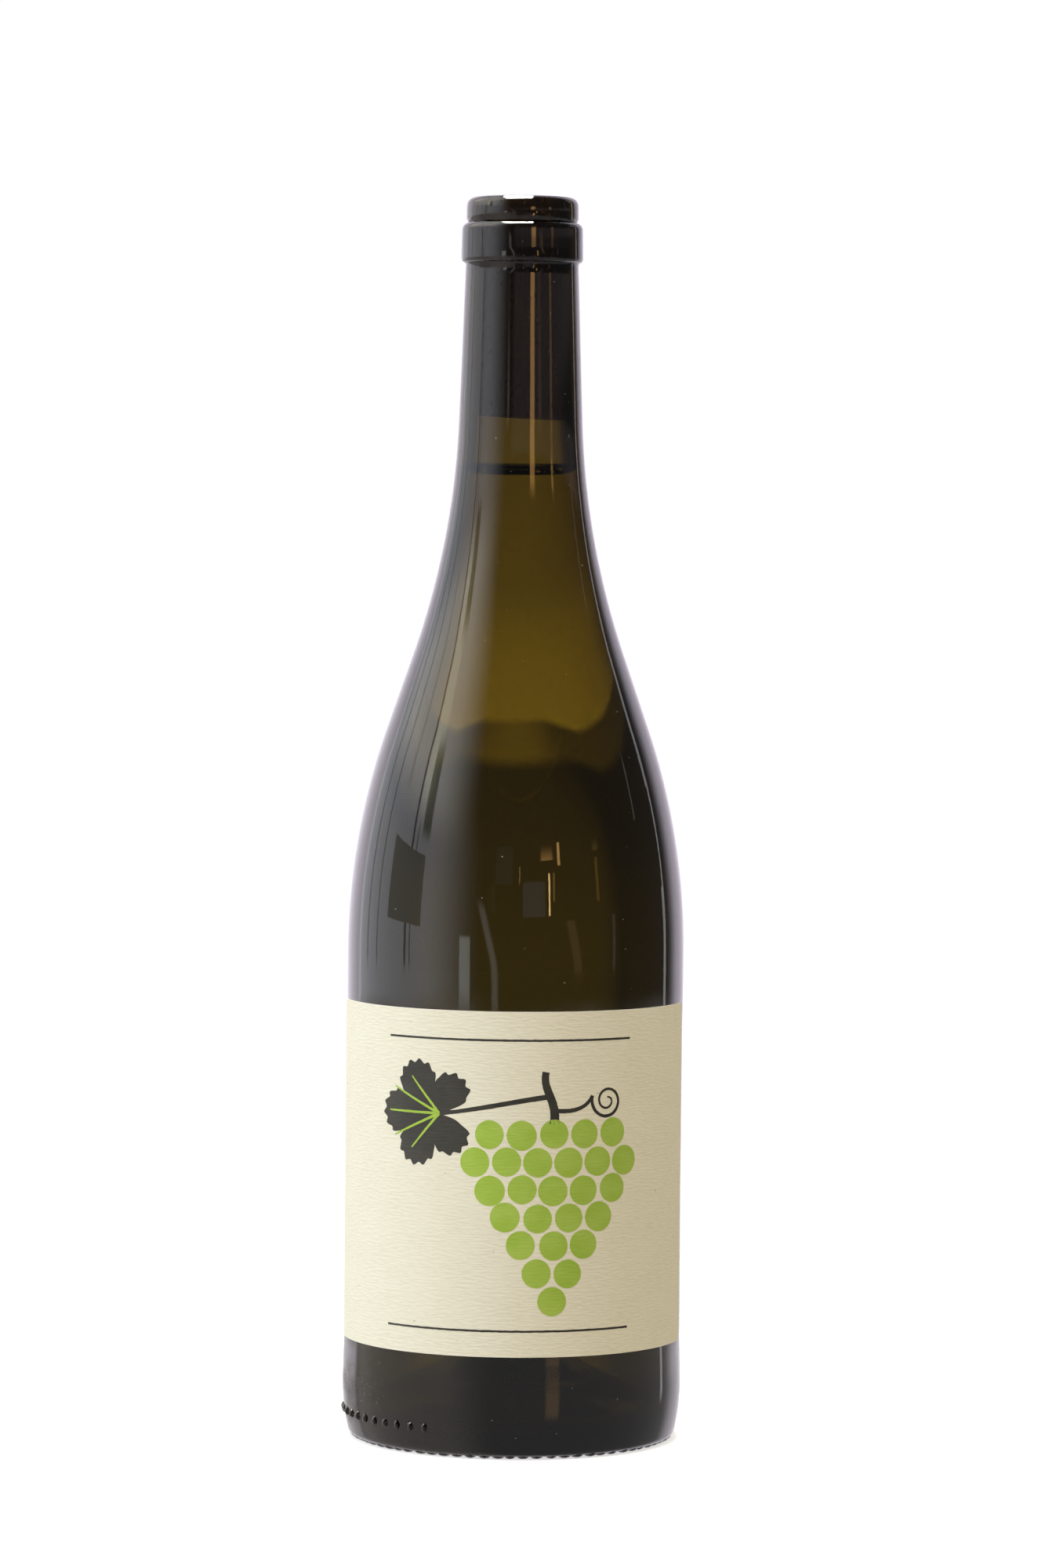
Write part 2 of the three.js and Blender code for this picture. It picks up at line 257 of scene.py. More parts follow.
def outside_points():
    """The bottle's outside from the middle of its punt up to the top of its lip."""
    heel = arc(HEEL_RADIUS - HEEL_ARC_RADIUS, HEEL_ARC_TOP, HEEL_ARC_RADIUS, -HEEL_ARC_TURN, 0, 8)
    turn = math.radians(HEEL_ARC_TURN)
    foot_corner = (heel[0][1] - FOOT_LIFT) / (1 - math.sin(turn))
    foot_radius = heel[0][0] - foot_corner * math.cos(turn)
    slope = [(radius, height) for radius, height, _ in shoulder(24)]
    neck_shrink = math.tan(math.radians(NECK_LEAN)) * (COLLAR_BOTTOM - slope[-1][1])
    neck_radius = slope[-1][0] - neck_shrink
    low_corner = COLLAR_LOW_RADIUS - COLLAR_LOW_CORNER
    high_corner = COLLAR_HIGH_RADIUS - COLLAR_HIGH_CORNER
    lip_corner_height = BOTTLE_HEIGHT - LIP_CORNER
    return (
        dome(PUNT_RADIUS, FOOT_LIFT, PUNT_DEPTH, 20)
        + arc(foot_radius, FOOT_LIFT + foot_corner, foot_corner, -90, -HEEL_ARC_TURN, 8)[:-1]
        + heel
        + [(HEEL_RADIUS, HEEL_BAND_TOP), (BODY_RADIUS, HEEL_BAND_TOP + HEEL_BAND_BLEND)]
        + slope
        + [(neck_radius, COLLAR_BOTTOM - COLLAR_FILLET), (neck_radius + COLLAR_FILLET / 3, COLLAR_BOTTOM)]
        + arc(low_corner, COLLAR_BOTTOM + COLLAR_LOW_CORNER, COLLAR_LOW_CORNER, -90, 0, 5)
        + arc(high_corner, COLLAR_TOP - COLLAR_HIGH_CORNER, COLLAR_HIGH_CORNER, 0, COLLAR_HIGH_TURN, 8)
        + [(GROOVE_RADIUS, COLLAR_TOP), (LIP_RADIUS, COLLAR_TOP + GROOVE_HEIGHT)]
        + [(LIP_RADIUS, lip_corner_height - LIP_STEP_HEIGHT)]
        + arc(LIP_RADIUS - LIP_STEP - LIP_CORNER, lip_corner_height, LIP_CORNER, 0, 90, 10)
        + arc(BORE_RADIUS + MOUTH_CORNER, BOTTLE_HEIGHT - MOUTH_CORNER, MOUTH_CORNER, 90, 180, 4)[:-1]
    )


def spaced(points, spacing):
    """The same outline with points added so that none lie further apart than the spacing."""
    result = [points[0]]
    for start, end in zip(points, points[1:]):
        length = math.dist(start, end)
        count = max(1, math.ceil(length / spacing))
        for i in range(1, count + 1):
            share = i / count
            result.append(tuple(a + (b - a) * share for a, b in zip(start, end)))
    return result


def radius_at(points, height):
    """The radius of an outline at a height, taken from the last stretch that passes it."""
    found = points[0][0]
    for (low_radius, low), (high_radius, high) in zip(points, points[1:]):
        if low <= height <= high and high > low:
            found = low_radius + (high_radius - low_radius) * (height - low) / (high - low)
    return found


# Meshes

def around_front(radius, angle, height):
    """A point at an angle in degrees from the front, which is -Y, towards +X."""
    turn = math.radians(angle)
    return Vector((radius * math.sin(turn), -radius * math.cos(turn), height))


def new_object(name, vertices, faces):
    mesh = bpy.data.meshes.new(name)
    mesh.from_pydata(vertices, [], faces)
    mesh.validate()
    piece = bpy.data.objects.new(name, mesh)
    bpy.context.scene.collection.objects.link(piece)
    return piece


def smooth(piece, crease):
    """Shades a piece smoothly, apart from edges sharper than the crease in degrees."""
    piece.data.polygons.foreach_set("use_smooth", [True] * len(piece.data.polygons))
    piece.data.set_sharp_from_angle(angle=math.radians(crease))
    return piece


def closed_faces(columns, rows):
    """Faces round a lowest point, rows of points that go round, and a highest point."""
    last = 1 + rows * columns
    top = last - columns
    faces = []
    for column in range(columns):
        beside = (column + 1) % columns
        faces.append((0, 1 + beside, 1 + column))
        for low in range(1, top, columns):
            high = low + columns
            faces.append((low + column, low + beside, high + beside, high + column))
        faces.append((last, top + column, top + beside))
    return faces


def sheet_faces(columns, rows):
    """Faces of a sheet whose points come column by column, with rows points in each."""
    starts = [column * rows + row for column in range(columns - 1) for row in range(rows - 1)]
    return [(start, start + rows, start + rows + 1, start + 1) for start in starts]


def turned(name, outline, angles, shape=None):
    """A solid turned about Z from an outline that starts and ends on the axis.

    shape, if given, moves a point: it takes the row's number, the angle, the radius and the height, and
    returns a radius and a height.
    """
    vertices = [Vector((0, 0, outline[0][1]))]
    for row, (radius, height) in enumerate(outline[1:-1]):
        for angle in angles:
            place = shape(row + 1, angle, radius, height) if shape else (radius, height)
            vertices.append(around_front(place[0], angle, place[1]))
    vertices.append(Vector((0, 0, outline[-1][1])))
    return new_object(name, vertices, closed_faces(len(angles), len(outline) - 2))


def ellipsoid(size, place, spin, around=12, rings=8):
    """Vertices and faces of an ellipsoid, turned about Z by spin degrees and moved to its place."""
    turn = Matrix.Rotation(math.radians(spin), 3, "Z")
    vertices = [Vector((0, 0, -size[2]))]
    for ring in range(1, rings):
        tilt = -math.pi / 2 + math.pi * ring / rings
        for i in range(around):
            angle = 2 * math.pi * i / around
            vertices.append(Vector((
                size[0] * math.cos(tilt) * math.cos(angle),
                size[1] * math.cos(tilt) * math.sin(angle),
                size[2] * math.sin(tilt),
            )))
    vertices.append(Vector((0, 0, size[2])))
    return [turn @ vertex + place for vertex in vertices], closed_faces(around, rings - 1)


def rectangle(middle, across, up):
    """A rectangle's corners, from its middle and half of each side."""
    middle, across, up = Vector(middle), Vector(across), Vector(up)
    return [middle - across - up, middle + across - up, middle + across + up, middle - across + up]


def joined(name, parts):
    """One object from several (vertices, faces) pairs."""
    vertices = []
    faces = []
    for part_vertices, part_faces in parts:
        start = len(vertices)
        vertices.extend(part_vertices)
        faces.extend(tuple(start + i for i in face) for face in part_faces)
    return new_object(name, vertices, faces)


def fuse(piece, extra):
    """Joins extra's solids to the piece, and removes extra."""
    union = piece.modifiers.new("fuse", "BOOLEAN")
    union.operation = "UNION"
    union.solver = "MANIFOLD"
    union.object = extra
    graph = bpy.context.evaluated_depsgraph_get()
    mesh = bpy.data.meshes.new_from_object(piece.evaluated_get(graph))
    piece.modifiers.clear()
    old = piece.data
    piece.data = mesh
    mesh.name = piece.name
    mesh.materials.clear()
    bpy.data.meshes.remove(old)
    bpy.data.objects.remove(extra)


# The bottle

OUTSIDE = spaced(outside_points(), ROW_SPACING)
INSIDE = spaced(inside_points(), ROW_SPACING)


def bottle_angles():
    """Even steps round the bottle, with closer ones at its two mould seams."""
    angles = [360 * i / AROUND - 180 for i in range(AROUND)]
    for seam in SEAM_ANGLES:
        for step in SEAM_STEPS:
            angles.append(seam + step)
            angles.append(seam - step)
    return sorted(angles)


def calm_near_ends(height):
    """0 at the foot and at the collar, 1 between, where the blown glass is uneven."""
    low = min(1, max(0, (height - EVEN_FOOT_TOP) / EVEN_FOOT_BLEND))
    high = min(1, max(0, (COLLAR_BOTTOM - height) / EVEN_COLLAR_BLEND))
    return low * high


def uneven_wall(row, angle, radius, height):
    """Slight waves of the outside, stronger ones of the inside, and the seams' fine ridges."""
    is_outside = row < len(OUTSIDE)
    place = around_front(radius, angle, height)
    if is_outside:
        wave = noise.noise(Vector((place.x * 70, place.y * 70, height * 45)))
        offset = OUTSIDE_WAVE * wave * calm_near_ends(height)
        for seam in SEAM_ANGLES:
            aside = math.radians(angle - seam) * radius / SEAM_WIDTH
            if FOOT_LIFT * 3 < height < COLLAR_BOTTOM:
                offset += SEAM_RISE * math.exp(-aside * aside * 4)
    else:
        wave = noise.noise(Vector((place.x * 60 + 9, place.y * 60, height * 14)))
        fine = noise.noise(Vector((place.x * 170, place.y * 170 + 5, height * 30)))
        offset = (INSIDE_WAVE * wave + INSIDE_RIPPLE * fine) * calm_near_ends(height)
    return radius + offset, height


def foot_bumps():
    parts = []
    for i in range(BUMP_COUNT):
        angle = 360 * (i + random.uniform(-0.12, 0.12)) / BUMP_COUNT
        width = BUMP_WIDTH * random.uniform(0.85, 1.15)
        length = BUMP_LENGTH * random.uniform(0.85, 1.1)
        rise = FOOT_LIFT * 1.6
        place = around_front(BUMP_RING_RADIUS, angle, rise)
        parts.append(ellipsoid((width, length, rise), place, angle))
    return joined("foot_bumps", parts)


def heel_dots():
    """The row of raised dots."""
    parts = []
    surface = radius_at(OUTSIDE[:len(OUTSIDE) // 2], DOT_HEIGHT)
    for angle in evenly(DOT_FIRST, DOT_LAST, DOT_COUNT - 1):
        parts.append(ellipsoid(DOT_SIZE, around_front(surface, angle, DOT_HEIGHT), angle, 16, 10))
    return joined("heel_dots", parts)


def make_bottle():
    outline = OUTSIDE + INSIDE[::-1]
    piece = turned("bottle_glass", outline, bottle_angles(), uneven_wall)
    fuse(piece, foot_bumps())
    fuse(piece, heel_dots())
    return smooth(piece, 32)


# Wine, cork and label

def make_wine():
    """Wine that reaches just into the glass, with a surface that climbs the neck's wall."""
    edge = FILL_LEVEL + MENISCUS_RISE
    floor_edge = INNER_FLOOR * 1.02
    below = [(radius + WINE_OVERLAP, height) for radius, height in INSIDE[1:] if height < edge]
    floor = [(0, INSIDE[0][1] - WINE_OVERLAP)]
    floor += [(radius, height - WINE_OVERLAP) for radius, height in below if height < floor_edge]
    wall = [point for point in below if point[1] >= floor_edge]
    inner = radius_at(INSIDE, edge)
    surface = [(inner + WINE_OVERLAP, edge)]
    for share in evenly(0, 1, 14):
        reach = MENISCUS_REACH * share ** 1.8
        surface.append((inner - reach, FILL_LEVEL + MENISCUS_RISE * math.exp(-reach / MENISCUS_DECAY)))
    outline = floor + wall + surface + [(0, FILL_LEVEL)]
    piece = turned("wine_fill", outline, evenly(0, 360, 180)[:-1])
    fuse(piece, wine_bubbles(inner))
    return smooth(piece, 60)


def wine_bubbles(inner):
    """Small domes of froth on the wine, by the wall at both ends of its front edge."""
    parts = []
    for start, end, count in BUBBLE_SPANS:
        for i in range(count):
            angle = start + (end - start) * (i + random.uniform(0.2, 0.8)) / count
            size = random.uniform(0.0003, 0.0008)
            height = FILL_LEVEL + MENISCUS_RISE * random.uniform(0.1, 0.7)
            place = around_front(inner - random.uniform(0.0006, 0.0018), angle, height)
            parts.append(ellipsoid((size, size, size), place, angle))
    return joined("wine_bubbles", parts)


def make_cork():
    """A natural cork squeezed into the bore, with sunken pores and a slightly slanted lower end."""
    bottom = CORK_TOP - CORK_LENGTH
    side = [(radius_at(INSIDE, height) - CORK_GAP, height) for height in evenly(bottom, CORK_TOP, 60)]
    ends = evenly(0, 1, 14)[1:-1]
    low = [(side[0][0] * share, bottom) for share in ends]
    high = [(side[-1][0] * share, CORK_TOP) for share in reversed(ends)]
    outline = [(0, bottom)] + low + side + high + [(0, CORK_TOP)]
    slope = math.tan(math.radians(CORK_TILT))

    def shape(row, angle, radius, height):
        place = around_front(radius, angle, height)
        pore = noise.noise(Vector((place.x * 420, place.y * 420, height * 160)))
        sink = max(0, pore - PORE_LEVEL) * PORE_DEPTH
        if height > CORK_TOP - NEAR:
            return radius, height - sink
        if height < bottom + NEAR:
            return radius, height + sink + place.x * slope
        return radius - sink, height

    return smooth(turned("cork_stopper", outline, evenly(0, 360, 120)[:-1], shape), 50)


def label_inset(along, width):
    """How far the rounded corner draws a column's ends in, at a distance along the label."""
    reach = min(along, width - along)
    if reach >= LABEL_CORNER:
        return 0
    return LABEL_CORNER - math.sqrt(max(0, LABEL_CORNER ** 2 - (LABEL_CORNER - reach) ** 2))


def make_label():
    """A thin curved sheet of paper, whose cut edge has its own material."""
    inside = BODY_RADIUS + LABEL_GAP
    width = math.radians(LABEL_END - LABEL_START) * inside
    corner = [LABEL_CORNER * (1 - math.cos(math.radians(15 * i))) for i in range(6)]
    middle = evenly(LABEL_CORNER, width - LABEL_CORNER, 150)
    stops = corner + middle + [width - along for along in reversed(corner)]
    rows = 48
    vertices = []
    for along in stops:
        angle = LABEL_START + math.degrees(along / inside)
        inset = label_inset(along, width)
        low = LABEL_BOTTOM + inset
        high = LABEL_BOTTOM + LABEL_HEIGHT - inset
        for radius in (inside, inside + LABEL_THICKNESS):
            for row in range(rows + 1):
                vertices.append(around_front(radius, angle, low + (high - low) * row / rows))
    side = rows + 1
    column = 2 * side
    faces = []
    edges = []
    for i in range(len(stops) - 1):
        here = i * column
        there = here + column
        for row in range(rows):
            faces.append((here + row + 1, there + row + 1, there + row, here + row))
            outer = here + side + row
            faces.append((outer, outer + column, outer + column + 1, outer + 1))
        edges.append((here, there, there + side, here + side))
        edges.append((here + side + rows, there + side + rows, there + rows, here + rows))
    last = (len(stops) - 1) * column
    for row in range(rows):
        edges.append((row, row + side, row + side + 1, row + 1))
        edges.append((last + row + 1, last + side + row + 1, last + side + row, last + row))
    piece = new_object("label_paper", vertices, faces + edges)
    for polygon in piece.data.polygons[len(faces):]:
        polygon.material_index = 1
    return smooth(piece, 30)


# Print: flat shapes of (distance along, height) in metres, wrapped round the label's front

def wrapped(along, height, lift):
    radius = BODY_RADIUS + LABEL_GAP + LABEL_THICKNESS + lift
    return around_front(radius, math.degrees(along / radius), height)


def rough(x, y, depth):
    """The small unevenness of a printed edge."""
    return depth * noise.noise(Vector((x * 2600, y * 2600, 3)))


def printed_shape(centre, outline_radius, steps, rings, lift):
    """A filled shape round a centre. outline_radius gives its reach at an angle in radians."""
    vertices = [wrapped(*centre, lift)]
    for ring in range(1, rings + 1):
        share = ring / rings
        for i in range(steps):
            angle = 2 * math.pi * i / steps
            reach = outline_radius(angle) * share
            along = centre[0] + reach * math.cos(angle)
            height = centre[1] + reach * math.sin(angle)
            edge = rough(along, height, INK_ROUGHNESS) if ring == rings else 0
            vertices.append(wrapped(along + edge * math.cos(angle), height + edge * math.sin(angle), lift))
    faces = [(0, 1 + i, 1 + (i + 1) % steps) for i in range(steps)]
    for ring in range(rings - 1):
        low = 1 + ring * steps
        for i in range(steps):
            beside = (i + 1) % steps
            faces.append((low + i, low + steps + i, low + steps + beside, low + beside))
    return vertices, faces


def printed_ribbon(path, widths, lift):
    """A stroke along a path of points, with a width at each point."""
    vertices = []
    for i, (along, height) in enumerate(path):
        before = path[max(0, i - 1)]
        after = path[min(len(path) - 1, i + 1)]
        run = Vector((after[0] - before[0], after[1] - before[1])).normalized()
        for side in (-1, 0, 1):
            reach = side * (widths[i] / 2 + rough(along + side, height, INK_ROUGHNESS))
            vertices.append(wrapped(along - run.y * reach, height + run.x * reach, lift))
    return vertices, sheet_faces(len(path), 3)


def stroke(points, start_width, end_width, lift, steps=40):
    """A smooth tapering stroke through four control points of a curve."""
    path = []
    widths = []
    for t in evenly(0, 1, steps):
        weights = ((1 - t) ** 3, 3 * t * (1 - t) ** 2, 3 * t * t * (1 - t), t ** 3)
        path.append(tuple(sum(w * point[axis] for w, point in zip(weights, points)) for axis in (0, 1)))
        widths.append(start_width + (end_width - start_width) * t)
    return printed_ribbon(path, widths, lift)


def curl(centre, start_radius, turns, start_angle, lift):
    """A tendril: a stroke that winds in on itself."""
    path = []
    widths = []
    for share in evenly(0, 1, 70):
        angle = start_angle + 2 * math.pi * turns * share
        radius = start_radius * (1 - 0.82 * share)
        path.append((centre[0] + radius * math.cos(angle), centre[1] + radius * math.sin(angle)))
        widths.append(0.0008 - 0.0004 * share)
    return printed_ribbon(path, widths, lift)


def leaf_radius(angle):
    """A five-lobed vine leaf with a toothed edge, its stalk side to the right."""
    lobes = abs(math.cos(2.5 * (angle - math.pi))) ** 0.6
    notch = 1 - 0.55 * math.exp(-(math.remainder(angle, 2 * math.pi) / 0.22) ** 2)
    teeth = 0.035 * math.sin(angle * 30)
    return LEAF_SIZE * (0.62 + 0.38 * lobes + teeth) * notch


def make_green_print():
    """The bunch's berries and the leaf's veins."""
    parts = []
    for row, count in enumerate(BUNCH_ROWS):
        for i in range(count):
            centre = (
                BUNCH_PLACE[0] + (i - (count - 1) / 2) * BERRY_PITCH + random.uniform(-1, 1) * 0.0002,
                BUNCH_PLACE[1] - row * BERRY_PITCH * 0.866 + random.uniform(-1, 1) * 0.0002,
            )
            size = BERRY_RADIUS * random.uniform(0.94, 1.0)
            parts.append(printed_shape(centre, lambda angle, size=size: size, 28, 3, INK_LIFT))
    for angle in (0.64, 0.82, 1.0, 1.18, 1.36):
        turn = math.pi * angle
        reach = LEAF_SIZE * (0.86 if abs(angle - 1) < 0.3 else 0.74)
        tip = (LEAF_PLACE[0] + reach * math.cos(turn), LEAF_PLACE[1] + reach * math.sin(turn))
        bend = ((LEAF_HEART[0] * 2 + tip[0]) / 3, (LEAF_HEART[1] * 2 + tip[1]) / 3)
        parts.append(stroke((LEAF_HEART, bend, tip, tip), 0.0007, 0.0003, INK_LIFT * 2, 24))
    return joined("label_print_green", parts)


def make_black_print():
    """The leaf, the bunch's stem, stalk and tendrils, and the two rules."""
    top = (BUNCH_PLACE[0], BUNCH_PLACE[1] + BERRY_RADIUS * 0.6)

    def beside_top(*shifts):
        """Points given by how far they are along and up from the bunch's top."""
        return [(top[0] + along, top[1] + up) for along, up in shifts]

    leaf_bend = (LEAF_PLACE[0] + 0.012, LEAF_PLACE[1] + 0.001)
    stem = beside_top((0, 0), (0.001, 0.006), (-0.003, 0.008), (-0.002, 0.0125))
    stalk = [LEAF_HEART, leaf_bend] + beside_top((-0.008, 0.006), (-0.0005, 0.0068))
    tendril = beside_top((0.0002, 0.0035), (0.004, 0.003), (0.008, 0.0035), (0.0095, 0.0068))
    parts = [
        printed_shape(LEAF_PLACE, leaf_radius, 240, 9, INK_LIFT),
        stroke(stem, 0.0022, 0.0017, INK_LIFT),
        stroke(stalk, 0.0009, 0.0013, INK_LIFT),
        curl(*beside_top((0.0135, 0.0055)), 0.0042, 1.8, math.pi * 0.9, INK_LIFT),
        stroke(tendril, 0.0011, 0.0008, INK_LIFT),
    ]
    for height in RULE_HEIGHTS:
        path = [(RULE_SHIFT + along, height) for along in evenly(-RULE_REACH, RULE_REACH, 80)]
        parts.append(printed_ribbon(path, [RULE_WIDTH] * len(path), INK_LIFT))
    return joined("label_print_black", parts)


# Dust on the glass

def fleck(angle, height, size):
    """A tiny uneven crumb or short fibre that lies on the bottle's outside."""
    radius = radius_at(OUTSIDE, height)
    spin = Matrix.Rotation(random.uniform(0, math.pi), 3, "X")
    turn = Matrix.Rotation(math.radians(angle - 90), 3, "Z") @ spin
    reach = random.choice((1, 1, 1, 2.5)) * size / 2
    corners = (
        (size * 0.2, 0, 0), (-size * 0.2, 0, 0),
        (0, reach, 0), (0, -reach, size * 0.1),
        (0, 0, size / 2), (0, size * 0.1, -size / 2),
    )
    place = around_front(radius, angle, height)
    vertices = [turn @ Vector(corner) * random.uniform(0.8, 1.2) + place for corner in corners]
    faces = []
    for out in (0, 1):
        for side, edge in ((2, 4), (4, 3), (3, 5), (5, 2)):
            faces.append((out, side, edge) if out == 0 else (out, edge, side))
    return vertices, faces


def make_dust():
    """Pale flecks over all the glass that the label leaves bare."""
    parts = []
    while len(parts) < FLECK_COUNT:
        angle = random.uniform(-180, 180)
        height = random.uniform(0.004, COLLAR_TOP - 0.002)
        on_label = LABEL_BOTTOM < height < LABEL_BOTTOM + LABEL_HEIGHT and LABEL_START < angle < LABEL_END
        if not on_label:
            parts.append(fleck(angle, height, random.uniform(*FLECK_SIZES)))
    return joined("dust_flecks", parts)


def make_heel_dust():
    """Brown dust that has gathered on the lower left of the heel."""
    parts = []
    lowest, highest = HEEL_DUST_LIMITS
    for _ in range(HEEL_FLECK_COUNT):
        angle = HEEL_DUST_ANGLE[0] + random.gauss(0, HEEL_DUST_ANGLE[1])
        height = min(highest, max(lowest, random.gauss(*HEEL_DUST_HEIGHT)))
        parts.append(fleck(angle, height, random.uniform(*HEEL_FLECK_SIZES)))
    return joined("heel_dust", parts)


def make_heel_haze():
    """A thin film of dust on the left of the heel, thick or thin by its material's mask."""
    outline = [(radius_at(OUTSIDE, height) + HAZE_LIFT, height) for height in evenly(*HAZE_HEIGHTS, 24)]
    columns = evenly(*HAZE_SPAN, 60)
    vertices = [around_front(radius, angle, height) for angle in columns for radius, height in outline]
    return smooth(new_object("heel_haze", vertices, sheet_faces(len(columns), len(outline))), 60)


bottle = make_bottle()
wine = make_wine()
cork = make_cork()
label = make_label()
green_print = make_green_print()
black_print = make_black_print()
dust = make_dust()
heel_dust = make_heel_dust()
heel_haze = make_heel_haze()


# Materials

def new_material(name):
    material = bpy.data.materials.new(name)
    material.use_nodes = True
    tree = material.node_tree
    return material, tree, tree.nodes["Principled BSDF"]


def add_node(tree, kind, **values):
    node = tree.nodes.new(kind)
    for key, value in values.items():
        setattr(node, key, value)
    return node


def new_group(name, inputs, outputs):
    """A shader node group with named sockets: (name, kind) pairs."""
    tree = bpy.data.node_groups.new(name, "ShaderNodeTree")
    for socket, kind in inputs:
        tree.interface.new_socket(socket, in_out="INPUT", socket_type=kind)
    for socket, kind in outputs:
        tree.interface.new_socket(socket, in_out="OUTPUT", socket_type=kind)
    return tree, tree.nodes.new("NodeGroupInput"), tree.nodes.new("NodeGroupOutput")


def feed(tree, value, socket):
    """Gives a socket another node's output, or a plain number, vector or colour."""
    if isinstance(value, bpy.types.NodeSocket):
        tree.links.new(value, socket)
    else:
        socket.default_value = value


def maths(tree, operation, *values, kind="ShaderNodeMath"):
    """The outcome of a sum, a product or the like."""
    node = add_node(tree, kind, operation=operation)
    for value, socket in zip(values, node.inputs):
        feed(tree, value, socket)
    return node.outputs[0]


def vector_maths(tree, operation, *values):
    return maths(tree, operation, *values, kind="ShaderNodeVectorMath")


def mapped(tree, value, low, high, start=0, end=1, way="SMOOTHSTEP"):
    """A value that goes from start to end while another one goes from low to high."""
    node = add_node(tree, "ShaderNodeMapRange", interpolation_type=way)
    names = ("Value", "From Min", "From Max", "To Min", "To Max")
    for name, number in zip(names, (value, low, high, start, end)):
        feed(tree, number, node.inputs[name])
    return node.outputs[0]


def coordinates(tree, place):
    node = add_node(tree, "ShaderNodeSeparateXYZ")
    tree.links.new(place, node.inputs[0])
    return node.outputs


def object_place(tree):
    """Where a point lies on the bottle, in metres."""
    return add_node(tree, "ShaderNodeTexCoord").outputs["Object"]


def speckle(tree, place, stretch, detail, low, high):
    """Noise as a mask from 0 to 1. stretch is its fineness along each axis, per metre."""
    pattern = add_node(tree, "ShaderNodeTexNoise")
    pattern.inputs["Scale"].default_value = 1
    pattern.inputs["Detail"].default_value = detail
    tree.links.new(vector_maths(tree, "MULTIPLY", place, stretch), pattern.inputs["Vector"])
    return mapped(tree, pattern.outputs[0], low, high)


def blend(tree, mask, first, second):
    """A colour between two, each a colour or another node's output."""
    mix = add_node(tree, "ShaderNodeMix", data_type="RGBA")
    tree.links.new(mask, mix.inputs["Factor"])
    for value, socket in ((first, mix.inputs[6]), (second, mix.inputs[7])):
        feed(tree, (*value, 1) if isinstance(value, tuple) else value, socket)
    return mix.outputs[2]


def relief(tree, shader, height, strength, depth):
    """Bumps the surface by a mask, depth metres from 0 to 1."""
    bump = add_node(tree, "ShaderNodeBump")
    bump.inputs["Strength"].default_value = strength
    bump.inputs["Distance"].default_value = depth
    tree.links.new(height, bump.inputs["Height"])
    tree.links.new(bump.outputs[0], shader.inputs["Normal"])


def matt(tree, shader, colour, mask, roughness):
    """A surface's colour, and its roughness, which a mask varies between two values."""
    tree.links.new(colour, shader.inputs["Base Color"])
    tree.links.new(mapped(tree, mask, 0, 1, *roughness, "LINEAR"), shader.inputs["Roughness"])


def felt_paper_group():
    """The paper's sideways felt marks, its soft mottling and its rare flecks, wrapped round the bottle."""
    outputs = [(name, "NodeSocketFloat") for name in ("Marks", "Mottle", "Flecks")]
    tree, entry, result = new_group("felt_paper", [("Place", "NodeSocketVector")], outputs)
    x, y, z = coordinates(tree, entry.outputs["Place"])
    angle = maths(tree, "ARCTAN2", x, maths(tree, "MULTIPLY", y, -1))
    flat = add_node(tree, "ShaderNodeCombineXYZ")
    tree.links.new(maths(tree, "MULTIPLY", angle, BODY_RADIUS), flat.inputs[0])
    tree.links.new(z, flat.inputs[1])
    for name, stretch, detail, low, high in (
        ("Marks", (420, 1900, 1), 4, 0.3, 0.7),
        ("Mottle", (110, 160, 1), 3, 0.3, 0.7),
        ("Flecks", (520, 620, 1), 1, 0.77, 0.82),
    ):
        tree.links.new(speckle(tree, flat.outputs[0], stretch, detail, low, high), result.inputs[name])
    return tree


FELT_PAPER = felt_paper_group()


def felt_paper(tree):
    node = add_node(tree, "ShaderNodeGroup", node_tree=FELT_PAPER)
    tree.links.new(object_place(tree), node.inputs["Place"])
    return node.outputs


def clear_material(name, refraction, colour, density, stretch, detail, strength):
    """A clear material that tints what passes through it, with faint ripples."""
    material, tree, shader = new_material(name)
    shader.inputs["Base Color"].default_value = (1, 1, 1, 1)
    shader.inputs["Roughness"].default_value = 0.0
    shader.inputs["IOR"].default_value = refraction
    shader.inputs["Transmission Weight"].default_value = 1
    volume = add_node(tree, "ShaderNodeVolumeAbsorption")
    volume.inputs["Color"].default_value = (*colour, 1)
    volume.inputs["Density"].default_value = density
    tree.links.new(volume.outputs[0], tree.nodes["Material Output"].inputs["Volume"])
    ripples = speckle(tree, object_place(tree), stretch, detail, 0.2, 0.8)
    relief(tree, shader, ripples, strength, 0.0001)
    return material


def glass_material():
    """Clear olive-amber glass, faintly rippled from the mould."""
    return clear_material("olive_glass", 1.5, (0.50, 0.41, 0.0), 630, (140, 140, 50), 2, 0.04)


def wine_material():
    """Clear pale wine, still apart from faint currents."""
    return clear_material("pale_wine", 1.34, (0.87, 0.78, 0.0), 29, (90, 90, 120), 1, 0.02)


def cork_material():
    """Natural cork, streaked along its length, with dark pores."""
    material, tree, shader = new_material("natural_cork")
    place = object_place(tree)
    streaks = speckle(tree, place, (700, 700, 120), 4, 0.3, 0.7)
    pores = speckle(tree, place, (900, 900, 420), 2, 0.64, 0.70)
    grain = blend(tree, streaks, (0.40, 0.27, 0.16), (0.50, 0.35, 0.21))
    matt(tree, shader, blend(tree, pores, grain, (0.26, 0.16, 0.09)), streaks, (0.8, 0.95))
    relief(tree, shader, streaks, 0.5, 0.0002)
    return material


